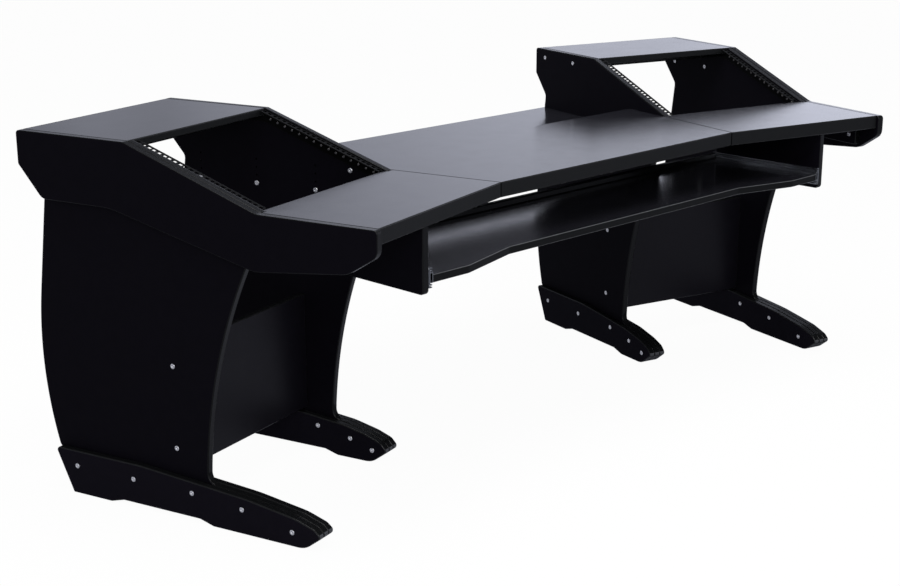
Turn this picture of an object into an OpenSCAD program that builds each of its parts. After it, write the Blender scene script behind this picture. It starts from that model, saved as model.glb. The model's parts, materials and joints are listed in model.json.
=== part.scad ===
// Studio desk with a centre desktop, a recessed console shelf behind it and a sliding
// keyboard tray, held between two pedestals that turn in towards the user. Each pedestal
// has a sloped rack bay on top and stands on two layered feet.
// Lengths are in millimetres. The floor is Z = 0, and the user sits on the -Y side.
//
// A pedestal is drawn in its own frame, where X runs outwards from its inner leg (a),
// Y runs back from the front edge of its desktop (b) and Z is the height.

/* [Desk] */
// Height of the desktop surface
desk_h = 737; // [722:1:752]
// Height of the shelf over each rack bay
shelf_h = 858; // [846:1:874]
// Width of the centre desktop along its front edge
seam_w = 896; // [860:1:1100]
// Depth of the centre desktop
centre_depth = 441; // [420:1:460]
// Angle that each pedestal turns in
splay = 15; // [13:0.5:17]
// Depth of a pedestal from the front edge of its desktop to its back
pedestal_depth = 952; // [944:1:980]

/* [Boards] */
// Thickness of every panel, shelf and foot layer
board_t = 18; // [16:0.5:19]
// Thickness of the desktops
desktop_t = 36; // [32:1:38]
// Rounding of the exposed corners of a panel
corner_r = 8; // [4:1:12]
// Gap between the centre tops and the pedestals
seam_gap = 0.2; // [0.1:0.1:1]

/* [Console shelf] */
// Distance from the desktop surface down to the console shelf
console_drop = 58; // [50:1:62]
// Distance that the console shelf runs forward under the desktop
console_lap = 16; // [8:1:24]
// Distance from the front edge of the desk to the back of the console shelf
console_back = 871; // [850:1:873]

/* [Rack bays] */
// Rack units along each slope
rack_units = 8; // [7:1:8]
// Clear width between the two legs of a pedestal
bay_w = 486; // [484:0.5:492]
// Depth of the shelf over a rack bay
shelf_depth = 304; // [290:1:314]
// Distance that this shelf stops short of the back of its pedestal
shelf_inset = 6; // [0:1:10]
// Length of slope left bare above the rack rails
slope_top_gap = 3; // [1:0.5:6]
// Length of slope left bare below the rack rails
slope_foot_gap = 13; // [8:1:20]
// Width of the front flange of a rack rail
rail_w = 21; // [18:0.5:24]
// Width of the side flange of a rack rail
rail_side = 28; // [25:1:31]
// Thickness of the rail's steel
rail_t = 2; // [1.5:0.1:2.5]
// Distance that the rails sit below the edges of the legs
rail_recess = 3; // [1:0.5:5]
// Gap between the upper end of a rail and the shelf
rail_gap = 0.5; // [0.2:0.1:1]
// Diameter of the rack holes
rack_hole_d = 6; // [5:0.5:7]
// Distance from the slope down to the line of rail screws
rail_screw_drop = 18.5; // [15:0.5:22]

/* [Shelf battens] */
// Distance that the front batten sits back from the shelf's front edge
batten_setback = 48; // [36:1:60]
// Height of the battens
batten_h = 15; // [14:0.5:19]
// Distance that the side battens stop short of the shelf's back edge
batten_end = 20; // [12:1:30]

/* [Legs] */
// Height of the square lip at the back of a leg
back_lip = 77; // [68:1:80]
// Distance that the waist of a leg lies in from its back
waist_inset = 56; // [50:1:64]
// Distance from the shelf height down to the waist
waist_drop = 141; // [138:1:150]
// Distance that the bowed part of the back edge lies in from the back of the pedestal
belly_inset = 14; // [8:1:24]
// Height at which the bow reaches furthest back
belly_h = 354; // [320:1:380]
// Radius of the bow
belly_r = 900; // [850:10:1100]
// Distance from the front edge of the desk to the front of a leg where it stands upright
leg_front = 465; // [455:1:475]
// Height at which the hollow front edge stands upright
shin_h = 45; // [30:1:60]
// Radius of the hollow front edge
shin_r = 1300; // [1200:10:1310]

/* [Cheeks] */
// Distance that a cheek reaches in front of the desktop
cheek_reach = 8; // [4:0.5:10]
// Height of a cheek's front face
nose_h = 55; // [50:1:60]
// Distance from the front of the desktop to the cheek's chin
chin_back = 66; // [56:1:76]
// Distance from the desktop surface down to the chin
chin_drop = 101; // [96:1:108]
// Distance from the desktop surface down to the cheek's lowest point
cheek_drop = 126; // [120:1:132]
// Distance from the desktop surface down to the cheek's tail
tail_drop = 31; // [25:1:36]
// Distance from the back of the pedestal to the start of the tail
tail_len = 262; // [240:1:280]

/* [Feet] */
// Height of a foot at its back
foot_h = 107; // [100:1:112]
// Distance that the top of a foot's back lies in from the back of the pedestal
foot_inset = 50; // [46:0.5:58]
// Distance that the bottom of its back lies further in
foot_rake = 48.5; // [30:0.5:60]
// Length of the pad under the back of a foot
back_pad = 115; // [90:1:140]
// Distance from the front edge of the desk to the back end of the front pad
pad_front = 440; // [425:1:470]
// Length over which the bottom of a foot rises from a pad
pad_ramp = 38; // [20:1:45]
// Distance from the front edge of the desk to where the foot's top starts to fall
foot_flat = 645; // [620:1:680]
// Clearance under the middle of a foot
foot_gap = 10.5; // [6:0.5:14]
// Distance from the front edge of the desk to the toe of an outer foot
outer_toe = 146; // [130:1:170]
// Distance from the front edge of the desk to the toe of an inner foot
inner_toe = 294; // [285:1:305]
// Height of the toe's tip
toe_h = 35; // [30:1:40]
// Fall of an outer foot's top edge per millimetre towards the toe
outer_fall = 0.072; // [0.06:0.002:0.09]
// Fall of an inner foot's top edge per millimetre towards the toe
inner_fall = 0.1; // [0.08:0.002:0.12]

/* [Cross panel] */
// Distance from the front edge of the desk to the cross panel's middle
cross_b = 548; // [535:1:570]
// Gap between the feet and the cross panel over them
cross_gap = 7; // [1:0.5:10]
// Height of the cross panel's upper edge
cross_top = 404; // [390:1:430]

/* [Keyboard tray] */
// Width of the tray
tray_w = 1490; // [1470:2:1500]
// Distance from the desktop surface down to the tray surface
tray_drop = 146; // [140:1:160]
// Distance that the ends of the tray reach in front of the desk's middle
tray_front = 78; // [60:1:86]
// Depth of the cut-out in the tray's front edge
tray_cutout = 50; // [30:1:60]
// Width of the cut-out at its back
cutout_w = 898; // [860:2:940]
// Width of the cut-out at the tray's front edge
cutout_mouth = 1264; // [1220:2:1300]
// Distance from the front edge of the desk to the back of the tray
tray_back = 279; // [265:1:284]
// Height of the lip on the back of the tray
tray_lip_h = 16; // [12:1:24]
// Height of the panels that carry the tray
support_h = 151; // [146:1:160]
// Distance that these panels reach in front of the desk's middle
support_front = 80; // [79:1:92]
// Depth of these panels
support_depth = 351; // [350:1:365]

/* [Tray slides] */
// Thickness of a closed slide
slide_t = 12.7; // [12.5:0.1:13.1]
// Height of a slide
slide_h = 45; // [44:0.5:46]
// Length of a slide
slide_len = 350; // [340:5:350]
// Distance from the tray surface down to the slide's middle
slide_drop = 5.5; // [4:0.5:8]
// Wall thickness of the slide members
slide_wall = 1.3; // [1.1:0.1:1.4]
// Running gap between the balls and the members
ball_gap = 0.3; // [0.2:0.05:0.4]
// Balls in each row
ball_count = 8; // [4:1:10]

/* [Fasteners] */
// Diameter of a bolt's head
bolt_head_d = 12; // [10:0.5:14]
// Height of a bolt's head
bolt_head_h = 2.4; // [2:0.1:3]
// Diameter of a bolt's shank
bolt_d = 6; // [5:0.5:7]
// Diameter of a rail screw's head
screw_head_d = 7; // [6:0.5:8]
// Diameter of a rail screw's shank
screw_d = 3.5; // [3:0.1:4]
// Gap around a shank in its hole
hole_gap = 0.2; // [0.1:0.05:0.3]

/* [Hidden] */
left = -1;
right = 1;
$fn = 32;

board_colour = [0.07, 0.07, 0.08];
top_colour = [0.20, 0.20, 0.22];
rail_colour = [0.12, 0.12, 0.13];
bolt_colour = [0.75, 0.75, 0.77];
slide_colour = [0.70, 0.72, 0.74];

// A rack unit, the places of its three holes and the width between two hole lines
unit_h = 44.45;
unit_holes = [6.35, 22.225, 38.1];
rack_hole_span = 465.1;

// Places across a pedestal
bay_start = board_t;
bay_end = bay_start + bay_w;
wing_w = bay_end + board_t;
pedestal_w = wing_w + board_t;

// The slope of the rack bay, from the shelf's front edge down to the desktop
rail_len = rack_units * unit_h;
slope_len = slope_top_gap + rail_len + slope_foot_gap;
slope_rise = shelf_h - desk_h;
slope_angle = asin(slope_rise / slope_len);
slope_top = pedestal_depth - shelf_inset - shelf_depth;
slope_foot = slope_top - slope_len * cos(slope_angle);

// Heights that several parts share
desktop_under = desk_h - desktop_t;
shelf_under = shelf_h - board_t;
console_z = desk_h - console_drop - board_t;
tray_z = desk_h - tray_drop - board_t;
slide_z = tray_z + board_t - slide_drop;

// A wing's tongue ends just short of the rails
wing_tongue = slope_foot_gap - 1;

// The back edge of a leg and a cheek rises from the waist to the lip at this slope
lip_rake = waist_inset / (waist_drop - back_lip);
waist = [pedestal_depth - waist_inset, shelf_h - waist_drop];
waist_r = 18;
tail_z = desk_h - tail_drop;
tail_b = pedestal_depth - lip_rake * (shelf_h - back_lip - tail_z);

// Centres of the arcs of a leg's back and front edges
belly_centre = [pedestal_depth - belly_inset - belly_r, belly_h];
shin_centre = [leg_front - shin_r, shin_h];
ankle_r = 25;
ankle_reach = 40;

// Places along the feet, and how far up the leg's outline ends inside its foot
foot_back = pedestal_depth - foot_inset;
foot_back_low = foot_back - foot_rake;
pad_back = foot_back_low - back_pad;
toe_undercut = 46;
leg_end = 0.6 * foot_h;

// Corners of a foot's top edge: where it leaves its straight fall behind the toe, and
// then the knuckles, as [distance behind the toe, rise over the toe's tip, radius]
foot_bend_r = 300;
outer_instep = 199;
outer_instep_r = 400;
outer_knuckles = [[70, 32, 150], [20, 16.5, 25]];
inner_instep = 125;
inner_instep_r = 200;
inner_knuckles = [[56, 34, 150], [18, 20, 25]];

// The back of the whole desk and the front corners of the cheeks set the frame's middle
desk_back = pedestal_depth * cos(splay);
desk_front = -pedestal_w * sin(splay) - cheek_reach * cos(splay);
middle_y = (desk_front + desk_back) / 2;

tray_half = tray_w / 2;
support_x = tray_half + slide_t;

// Cleats and battens
cleat_h = 54;
cleat_front = slope_foot - 22;
cleat_len = 130;
cheek_cleat_front = 60;
cheek_cleat_len = 200;
cleat_mid_z = desktop_under - cleat_h / 2;

// The feet pass under the cross panel
cross_low = foot_top(cross_b + board_t / 2, outer_fall) + cross_gap;

// Bolts of the feet. The front ones are given as [distance behind the toe, height].
foot_bolt_inset = 66;
foot_bolt_pitch = 169.5;
foot_bolt_drop = 37;
outer_front_bolts = [[212, 59], [77, 34]];
inner_front_bolts = [[107, 53], [43, 33]];

// Bolt places as [b, z] pairs
foot_bolts_back = [
    for (i = [0:2]) [foot_back - foot_bolt_inset - i * foot_bolt_pitch, foot_h - foot_bolt_drop]
];
outer_foot_bolts = concat(foot_bolts_back, [for (p = outer_front_bolts) [outer_toe + p[0], p[1]]]);
inner_foot_bolts = concat(foot_bolts_back, [for (p = inner_front_bolts) [inner_toe + p[0], p[1]]]);
cross_bolts = [[cross_b, cross_low + 55], [cross_b, cross_top - 46]];
batten_bolts = [for (d = [53, 204]) [pedestal_depth - d, shelf_under - batten_h / 2]];
cheek_bolts = [
    [pedestal_depth - 55, shelf_h - 70],
    [pedestal_depth - 207, shelf_h - 70],
    [slope_foot + 150, desk_h - 61]
];
console_bolts = [for (b = [498, 673, 845]) [b, console_z + board_t / 2]];
centre_bolts = [[slope_foot + 40, desktop_under + 9], [slope_foot + 106, desktop_under + 27]];
leg_cleat_bolts = [for (d = [60, 110]) [cleat_front + d, cleat_mid_z]];
cheek_cleat_bolts = [for (d = [25, 165]) [cheek_cleat_front + d, cleat_mid_z]];
spare_hole_d = 5;
spare_hole_depth = 11;
spare_holes = [for (p = console_bolts, lift = [20, 40, 60]) [p[0], p[1] + lift]];

// Places of the slide screws along the desk
slide_screw_places = [for (share = [0.1, 0.5, 0.9]) slide_len * share - support_front];

// How far a bolt goes on into the board behind, and into a board's edge
bolt_grip = 14;
edge_grip = 45;
rail_screw_grip = 12;
slide_screw_grip = 12;

// The battens over the tray supports
batten_inset = 28;
support_batten_len = 250;

// Joining plates under the seams, and the places of their screws
plate_l = 100;
plate_w = 50;
plate_t = 3;
plate_places = [80, 210];
plate_screws = [-38, -15, 15, 38];
plate_screw_grip = 14;

// Bolt and screw heads
head_chamfer = 0.8;
socket_d = 4.6;
socket_depth = 1.4;
rail_head_h = 1.8;
plate_head_h = 2;
slide_head_h = 1;
tray_head_h = 1.5;

// Half heights of the three slide members, with a ball race between each two, and the
// distances from the support at which the members start
ball_race = 4;
outer_half = slide_h / 2;
middle_half = outer_half - slide_wall - ball_race;
inner_half = middle_half - slide_wall - ball_race;
outer_depth = 10;
middle_start = 3;
middle_depth = 7.2;
inner_start = 5.1;
member_lip = 2.4;

// The two lines of balls, as distances from the support
outer_ball_depth = 6;
inner_ball_depth = 7;
cage_len = slide_len / 2 - 15;
cage_t = 0.6;

// Outlines with rounded corners

// Angle between two points of an arc, so that no chord is off by more than 0.08
function arc_step(r) = min(20, 2 * acos(1 - 0.08 / max(r, 0.5)));

function unit(v) = v / norm(v);

function turned(v, angle) = [
    v[0] * cos(angle) - v[1] * sin(angle),
    v[0] * sin(angle) + v[1] * cos(angle)
];

// The arc that rounds one corner. A corner is [x, y, radius].
function rounded_corner(before, corner, after) =
    let (
        p = [corner[0], corner[1]],
        back = [before[0], before[1]] - p,
        ahead = [after[0], after[1]] - p,
        half = acos(unit(back) * unit(ahead)) / 2,
        room = 0.85 * min(norm(back), norm(ahead)),
        reach = min(corner[2] / tan(half), room),
        r = reach * tan(half),
        centre = p + unit(unit(back) + unit(ahead)) * r / sin(half),
        start = p + unit(back) * reach - centre,
        sweep = sign(ahead[0] * back[1] - ahead[1] * back[0]) * (180 - 2 * half),
        steps = ceil(abs(sweep) / arc_step(r))
    )
    corner[2] == 0 ? [p] : [for (i = [0:steps]) centre + turned(start, sweep * i / steps)];

function rounded(corners) =
    let (n = len(corners))
    [for (i = [0:n - 1])
        each rounded_corner(corners[(i + n - 1) % n], corners[i], corners[(i + 1) % n])];

// Heights along an arc, from where a straight line from p touches it down to a lower end.
// The points come as corners.
function swept_down(p, centre, r, low) =
    let (
        d = p - centre,
        start = atan2(d[1], d[0]) - acos(min(1, r / norm(d))),
        end = asin((low - centre[1]) / r),
        steps = ceil((start - end) / arc_step(r))
    )
    [for (i = [0:steps])
        let (angle = start + (end - start) * i / steps)
        [centre[0] + r * cos(angle), centre[1] + r * sin(angle), 0]];

function reversed(list) = [for (i = [len(list) - 1:-1:0]) list[i]];

// Height of a foot's top edge
function foot_top(b, fall) = foot_h - max(0, foot_flat - b) * fall;

// A foot's outline from its back round by the toe
function foot_outline(toe, fall, instep, instep_r, knuckles) = rounded(concat(
    [
        [foot_back_low, 0, 4],
        [foot_back, foot_h, corner_r],
        [foot_flat, foot_h, foot_bend_r],
        [toe + instep, foot_top(toe + instep, fall), instep_r]
    ],
    [for (k = knuckles) [toe + k[0], toe_h + k[1], k[2]]],
    [
        [toe, toe_h, 9],
        [toe + toe_undercut, 0, 50],
        [pad_front, 0, 6],
        [pad_front + pad_ramp, foot_gap, 10],
        [pad_back - pad_ramp, foot_gap, 20],
        [pad_back, 0, 10]
    ]
));

outer_foot =
    foot_outline(outer_toe, outer_fall, outer_instep, outer_instep_r, outer_knuckles);
inner_foot =
    foot_outline(inner_toe, inner_fall, inner_instep, inner_instep_r, inner_knuckles);

// A leg's outline from the front of the slope round by its back, without the foot
function leg_outline(fall) =
    let (
        ankle_z = foot_top(leg_front, fall),
        shin = swept_down([slope_foot, desktop_under], shin_centre, shin_r, ankle_z + ankle_reach)
    )
    rounded(concat(
        [
            [slope_foot, desktop_under, 0],
            [slope_foot, desk_h, 0],
            [slope_top, shelf_h, 0],
            [pedestal_depth, shelf_h, corner_r],
            [pedestal_depth, shelf_h - back_lip, corner_r],
            [waist[0], waist[1], waist_r]
        ],
        swept_down(waist, belly_centre, belly_r, foot_h),
        [
            [foot_back - ankle_reach, leg_end, 0],
            [leg_front - ankle_reach, leg_end, 0],
            [leg_front - ankle_reach, foot_top(leg_front - ankle_reach, fall), 0],
            [leg_front - 1, ankle_z, ankle_r]
        ],
        reversed(shin)
    ));

// A cheek's outline from its front top corner round by its back
cheek_outline = rounded([
    [-cheek_reach, desk_h, corner_r + 1],
    [slope_foot, desk_h, 60],
    [slope_top, shelf_h, 4],
    [pedestal_depth, shelf_h, corner_r],
    [pedestal_depth, shelf_h - back_lip, corner_r],
    [tail_b, tail_z, 25],
    [pedestal_depth - tail_len, tail_z, 200],
    [slope_foot + 10, desk_h - cheek_drop, 90],
    [chin_back, desk_h - chin_drop, 60],
    [-cheek_reach, desk_h - nose_h, corner_r]
]);

// Placing

// Turns and moves a part from its pedestal's frame to its side of the desk
module on_side(side) {
    mirror([side == left ? 1 : 0, 0, 0])
        translate([seam_w / 2, -middle_y, 0])
            rotate([0, 0, -splay])
                children();
}

// The desk's own frame, for parts that run straight across or straight forward
module on_desk() {
    translate([0, -middle_y, 0])
        children();
}

module both_sides() {
    children();
    mirror([1, 0, 0])
        children();
}

module one_side(side) {
    mirror([side == left ? 1 : 0, 0, 0])
        children();
}

// An upright board from an outline in the plane of [b, z]
module upright(a) {
    translate([a, 0, 0])
        rotate([90, 0, 90])
            linear_extrude(board_t)
                children();
}

// The frame of the slope: a runs across, -y runs down the slope and z stands on it
module on_slope() {
    translate([0, slope_top, shelf_h])
        rotate([slope_angle, 0, 0])
            children();
}

// Swaps the two sides of a bay
module across_bay() {
    translate([bay_start + bay_end, 0, 0])
        mirror([1, 0, 0])
            children();
}

// Fasteners

// A low round head with a hexagon socket, standing on the face at z = 0
module bolt_head() {
    difference() {
        union() {
            cylinder(d = bolt_head_d, h = bolt_head_h - head_chamfer);
            translate([0, 0, bolt_head_h - head_chamfer])
                cylinder(d1 = bolt_head_d, d2 = bolt_head_d - 2 * head_chamfer, h = head_chamfer);
        }
        translate([0, 0, bolt_head_h - socket_depth])
            cylinder(d = socket_d, h = socket_depth + 1, $fn = 6);
    }
}

// A bolt at [b, z] whose head lies on the face at a. It points along +a or -a.
module bolt(a, place, way, length) {
    translate([a, place[0], place[1]])
        rotate([0, 90 * way, 0]) {
            mirror([0, 0, 1])
                bolt_head();
            cylinder(d = bolt_d, h = length);
        }
}

// A connector bolt with a head on both faces
module through_bolt(a, place, length) {
    bolt(a, place, 1, length);
    translate([a + length, place[0], place[1]])
        rotate([0, 90, 0])
            bolt_head();
}

// Holes along a from one place across the pedestal to another
module holes(a_from, a_to, places, d) {
    for (place = places)
        translate([a_from, place[0], place[1]])
            rotate([0, 90, 0])
                cylinder(d = d, h = a_to - a_from);
}

module bolt_holes(a_from, a_to, places) {
    holes(a_from, a_to, places, bolt_d + 2 * hole_gap);
}

// Places of the rail screws down the slope, one at the middle hole of each unit and one
// between two units
function screw_places() = [for (k = [1:2 * rack_units - 1]) slope_top_gap + k * unit_h / 2];

// The holes for the screws of one rail, so far into the leg at a = bay_start and so far
// out of it
module rail_screw_holes(into, out) {
    on_slope()
        for (s = screw_places())
            translate([bay_start - into, -s, -rail_screw_drop])
                rotate([0, 90, 0])
                    cylinder(d = screw_d + 2 * hole_gap, h = into + out);
}

// Legs, cheeks and feet

module leg_with_foot(foot, fall) {
    polygon(leg_outline(fall));
    polygon(foot);
}

module inner_leg(side) {
    color(board_colour)
        on_side(side)
            difference() {
                upright(0)
                    leg_with_foot(inner_foot, inner_fall);
                bolt_holes(-1, board_t + 1, inner_foot_bolts);
                bolt_holes(-1, board_t + 1, cross_bolts);
                bolt_holes(-1, board_t + 1, batten_bolts);
                bolt_holes(-1, board_t + 1, console_bolts);
                bolt_holes(-1, board_t + 1, centre_bolts);
                bolt_holes(board_t - bolt_grip - 1, board_t + 1, leg_cleat_bolts);
                holes(board_t - spare_hole_depth, board_t + 1, spare_holes, spare_hole_d);
                rail_screw_holes(rail_screw_grip + 1, 1);
            }
}

module outer_leg(side) {
    color(board_colour)
        on_side(side)
            difference() {
                upright(bay_end)
                    difference() {
                        leg_with_foot(outer_foot, outer_fall);
                        // The shelf lies over this leg, so its top edge stops under the shelf
                        translate([slope_top, shelf_under])
                            square([shelf_depth + shelf_inset + 1, board_t + 1]);
                    }
                bolt_holes(bay_end - 1, wing_w + 1, outer_foot_bolts);
                bolt_holes(bay_end - 1, wing_w + 1, cross_bolts);
                bolt_holes(bay_end - 1, wing_w + 1, cheek_bolts);
                bolt_holes(bay_end - 1, bay_end + bolt_grip + 1, leg_cleat_bolts);
                across_bay()
                    rail_screw_holes(rail_screw_grip + 1, 1);
            }
}

module cheek(side) {
    color(board_colour)
        on_side(side)
            difference() {
                upright(wing_w)
                    polygon(cheek_outline);
                bolt_holes(wing_w - 1, wing_w + bolt_grip + 1, cheek_bolts);
                bolt_holes(wing_w - 1, wing_w + bolt_grip + 1, cheek_cleat_bolts);
            }
}

module foot_plate(side, a, foot, bolts) {
    color(board_colour)
        on_side(side)
            difference() {
                upright(a)
                    polygon(foot);
                bolt_holes(a - 1, a + board_t + 1, bolts);
            }
}

module cross_panel(side) {
    color(board_colour)
        on_side(side)
            difference() {
                translate([bay_start, cross_b - board_t / 2, cross_low])
                    cube([bay_w, board_t, cross_top - cross_low]);
                bolt_holes(bay_start - 1, bay_start + edge_grip, cross_bolts);
                bolt_holes(bay_end - edge_grip, bay_end + 1, cross_bolts);
            }
}

// Shelves and desktops

module top_shelf(side) {
    color(top_colour)
        on_side(side)
            translate([bay_start, slope_top, shelf_under])
                linear_extrude(board_t)
                    polygon(rounded([
                        [0, 0, 0],
                        [bay_w + board_t, 0, 0],
                        [bay_w + board_t, shelf_depth, 2],
                        [0, shelf_depth, 2]
                    ]));
}

module shelf_battens(side) {
    batten_b = slope_top + batten_setback;
    side_len = pedestal_depth - batten_end - batten_b;
    color(board_colour)
        on_side(side)
            difference() {
                translate([bay_start, batten_b, shelf_under - batten_h]) {
                    cube([bay_w, board_t, batten_h]);
                    cube([board_t, side_len, batten_h]);
                    translate([bay_w - board_t, 0, 0])
                        cube([board_t, side_len, batten_h]);
                }
                bolt_holes(bay_start - 1, bay_start + bolt_grip + 1, batten_bolts);
            }
}

// A desktop wing, notched round the two legs behind the foot of the slope
module wing_top(side) {
    tongue_b = slope_foot + wing_tongue;
    color(top_colour)
        on_side(side)
            difference() {
                translate([0, 0, desktop_under])
                    linear_extrude(desktop_t)
                        polygon([
                            [0, 0],
                            [wing_w, 0],
                            [wing_w, slope_foot],
                            [bay_end, slope_foot],
                            [bay_end, tongue_b],
                            [bay_start, tongue_b],
                            [bay_start, slope_foot],
                            [0, slope_foot]
                        ]);
                seam_screw_holes();
            }
}

// One cleat on the cheek and one on each leg carry the wing
module wing_cleats(side) {
    low = desktop_under - cleat_h;
    color(board_colour)
        on_side(side)
            difference() {
                union() {
                    translate([bay_start, cleat_front, low])
                        cube([board_t, cleat_len, cleat_h]);
                    translate([bay_end - board_t, cleat_front, low])
                        cube([board_t, cleat_len, cleat_h]);
                    translate([bay_end, cheek_cleat_front, low])
                        cube([board_t, cheek_cleat_len, cleat_h]);
                }
                bolt_holes(bay_start - 1, bay_start + board_t + 1, leg_cleat_bolts);
                bolt_holes(bay_end - board_t - 1, bay_end + 1, leg_cleat_bolts);
                bolt_holes(bay_end - 1, wing_w + 1, cheek_cleat_bolts);
            }
}

// The outline between the two inner legs from one depth to another
function between_legs(front, back) =
    let (
        half_front = seam_w / 2 - seam_gap + front * tan(splay),
        half_back = seam_w / 2 - seam_gap + back * tan(splay)
    )
    [[-half_front, front], [half_front, front], [half_back, back], [-half_back, back]];

module centre_top() {
    color(top_colour)
        difference() {
            on_desk()
                translate([0, 0, desktop_under])
                    linear_extrude(desktop_t)
                        polygon(between_legs(0, centre_depth));
            for (side = [left, right])
                on_side(side) {
                    bolt_holes(-edge_grip, 1, centre_bolts);
                    seam_screw_holes();
                }
        }
}

module console_shelf() {
    color(top_colour)
        difference() {
            on_desk()
                translate([0, 0, console_z])
                    linear_extrude(board_t)
                        polygon(between_legs(centre_depth - console_lap, console_back));
            for (side = [left, right])
                on_side(side)
                    bolt_holes(-edge_grip, 1, console_bolts);
        }
}

// Joining plates under the seams between the centre desktop and the wings
module seam_plates() {
    color(slide_colour)
        for (side = [left, right], b = plate_places)
            on_side(side)
                translate([0, b, desktop_under - plate_t])
                    difference() {
                        linear_extrude(plate_t)
                            polygon(rounded([
                                [-plate_l / 2, -plate_w / 2, 4],
                                [plate_l / 2, -plate_w / 2, 4],
                                [plate_l / 2, plate_w / 2, 4],
                                [-plate_l / 2, plate_w / 2, 4]
                            ]));
                        for (x = plate_screws)
                            translate([x, 0, -1])
                                cylinder(d = screw_d + 2 * hole_gap, h = plate_t + 2);
                    }
}

module seam_screws() {
    color(bolt_colour)
        for (side = [left, right], b = plate_places, x = plate_screws)
            on_side(side)
                translate([x, b, desktop_under - plate_t]) {
                    translate([0, 0, -plate_head_h])
                        cylinder(d1 = screw_head_d - 2, d2 = screw_head_d, h = plate_head_h);
                    cylinder(d = screw_d, h = plate_t + plate_screw_grip);
                }
}

// The holes for one seam's screws, in the pedestal's frame
module seam_screw_holes() {
    for (b = plate_places, x = plate_screws)
        translate([x, b, desktop_under - 1])
            cylinder(d = screw_d + 2 * hole_gap, h = plate_screw_grip + 2);
}

// Rack rails

// One rail on the leg at a = bay_start
module rail() {
    hole_line = (bay_w - rack_hole_span) / 2;
    low = -rail_recess - rail_t - 1;
    difference() {
        on_slope()
            difference() {
                translate([bay_start, -slope_top_gap, -rail_recess])
                    rotate([90, 0, 0])
                        linear_extrude(rail_len)
                            polygon(rounded([
                                [0, 0, rail_t + 1],
                                [rail_w, 0, 0],
                                [rail_w, -rail_t, 0],
                                [rail_t, -rail_t, 1],
                                [rail_t, -rail_side, 0],
                                [0, -rail_side, 0]
                            ]));
                for (u = [0:rack_units - 1], h = unit_holes)
                    translate([bay_start + hole_line, -slope_top_gap - u * unit_h - h, low])
                        cylinder(d = rack_hole_d, h = rail_t + 2);
            }
        rail_screw_holes(1, rail_t + 1);
        // The upper end is cut upright, clear of the shelf
        translate([bay_start - 1, slope_top - rail_gap, shelf_h - 2 * rail_side])
            cube([rail_w + 2, rail_side, 2 * rail_side]);
    }
}

module inner_rail(side) {
    color(rail_colour)
        on_side(side)
            rail();
}

module outer_rail(side) {
    color(rail_colour)
        on_side(side)
            across_bay()
                rail();
}

// The screws of one rail, with their heads on the inside of its flange
module rail_screw_row() {
    on_slope()
        for (s = screw_places())
            translate([bay_start + rail_t, -s, -rail_screw_drop])
                rotate([0, 90, 0]) {
                    cylinder(d1 = screw_head_d, d2 = screw_head_d - 2, h = rail_head_h);
                    translate([0, 0, -rail_t - rail_screw_grip])
                        cylinder(d = screw_d, h = rail_t + rail_screw_grip);
                }
}

module rail_screws(side) {
    color(bolt_colour)
        on_side(side) {
            rail_screw_row();
            across_bay()
                rail_screw_row();
        }
}

// Bolts of a pedestal

module foot_bolts(side) {
    color(bolt_colour)
        on_side(side) {
            for (place = inner_foot_bolts)
                through_bolt(-board_t, place, 3 * board_t);
            for (place = outer_foot_bolts)
                through_bolt(bay_end - board_t, place, 3 * board_t);
        }
}

module panel_bolts(side) {
    color(bolt_colour)
        on_side(side) {
            for (place = cross_bolts) {
                bolt(0, place, 1, board_t + edge_grip - 5);
                bolt(wing_w, place, -1, board_t + edge_grip - 5);
            }
            for (place = batten_bolts)
                bolt(0, place, 1, board_t + bolt_grip);
            for (place = cheek_bolts)
                bolt(bay_end, place, 1, board_t + bolt_grip);
            for (place = console_bolts)
                bolt(bay_start, place, -1, board_t + edge_grip - 5);
            for (place = centre_bolts)
                bolt(bay_start, place, -1, board_t + edge_grip - 5);
            for (place = leg_cleat_bolts) {
                bolt(bay_start + board_t, place, -1, board_t + bolt_grip);
                bolt(bay_end - board_t, place, 1, board_t + bolt_grip);
            }
            for (place = cheek_cleat_bolts)
                bolt(bay_end, place, 1, board_t + bolt_grip);
        }
}

// Keyboard tray

module tray_support(side) {
    color(board_colour)
        on_desk()
            one_side(side)
                difference() {
                    upright(support_x)
                        polygon(rounded([
                            [-support_front, desktop_under, 0],
                            [support_depth - support_front, desktop_under, 0],
                            [support_depth - support_front, desktop_under - support_h, 10],
                            [-support_front, desktop_under - support_h, 10]
                        ]));
                    slide_screw_holes(support_x - 1, support_x + slide_screw_grip);
                }
}

// The batten in the corner between a support and the wing over it
module support_batten(side) {
    color(board_colour)
        on_desk()
            one_side(side)
                translate([support_x + board_t, batten_inset - support_front, desktop_under - board_t])
                    cube([board_t, support_batten_len, board_t]);
}

module slide_screw_holes(x_from, x_to) {
    for (y = slide_screw_places)
        translate([x_from, y, slide_z])
            rotate([0, 90, 0])
                cylinder(d = screw_d + 2 * hole_gap, h = x_to - x_from);
}

module tray_panel() {
    color(top_colour)
        on_desk()
            difference() {
                translate([0, 0, tray_z])
                    linear_extrude(board_t)
                        polygon(rounded([
                            [-tray_half, -tray_front, 3],
                            [-cutout_mouth / 2, -tray_front, 40],
                            [-cutout_w / 2, tray_cutout - tray_front, 40],
                            [cutout_w / 2, tray_cutout - tray_front, 40],
                            [cutout_mouth / 2, -tray_front, 40],
                            [tray_half, -tray_front, 3],
                            [tray_half, tray_back, 0],
                            [-tray_half, tray_back, 0]
                        ]));
                both_sides()
                    slide_screw_holes(tray_half - slide_screw_grip, tray_half + 1);
            }
}

module tray_lip() {
    color(board_colour)
        on_desk()
            translate([-tray_half, tray_back - board_t, tray_z + board_t])
                cube([tray_w, board_t, tray_lip_h]);
}

// Tray slides

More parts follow.
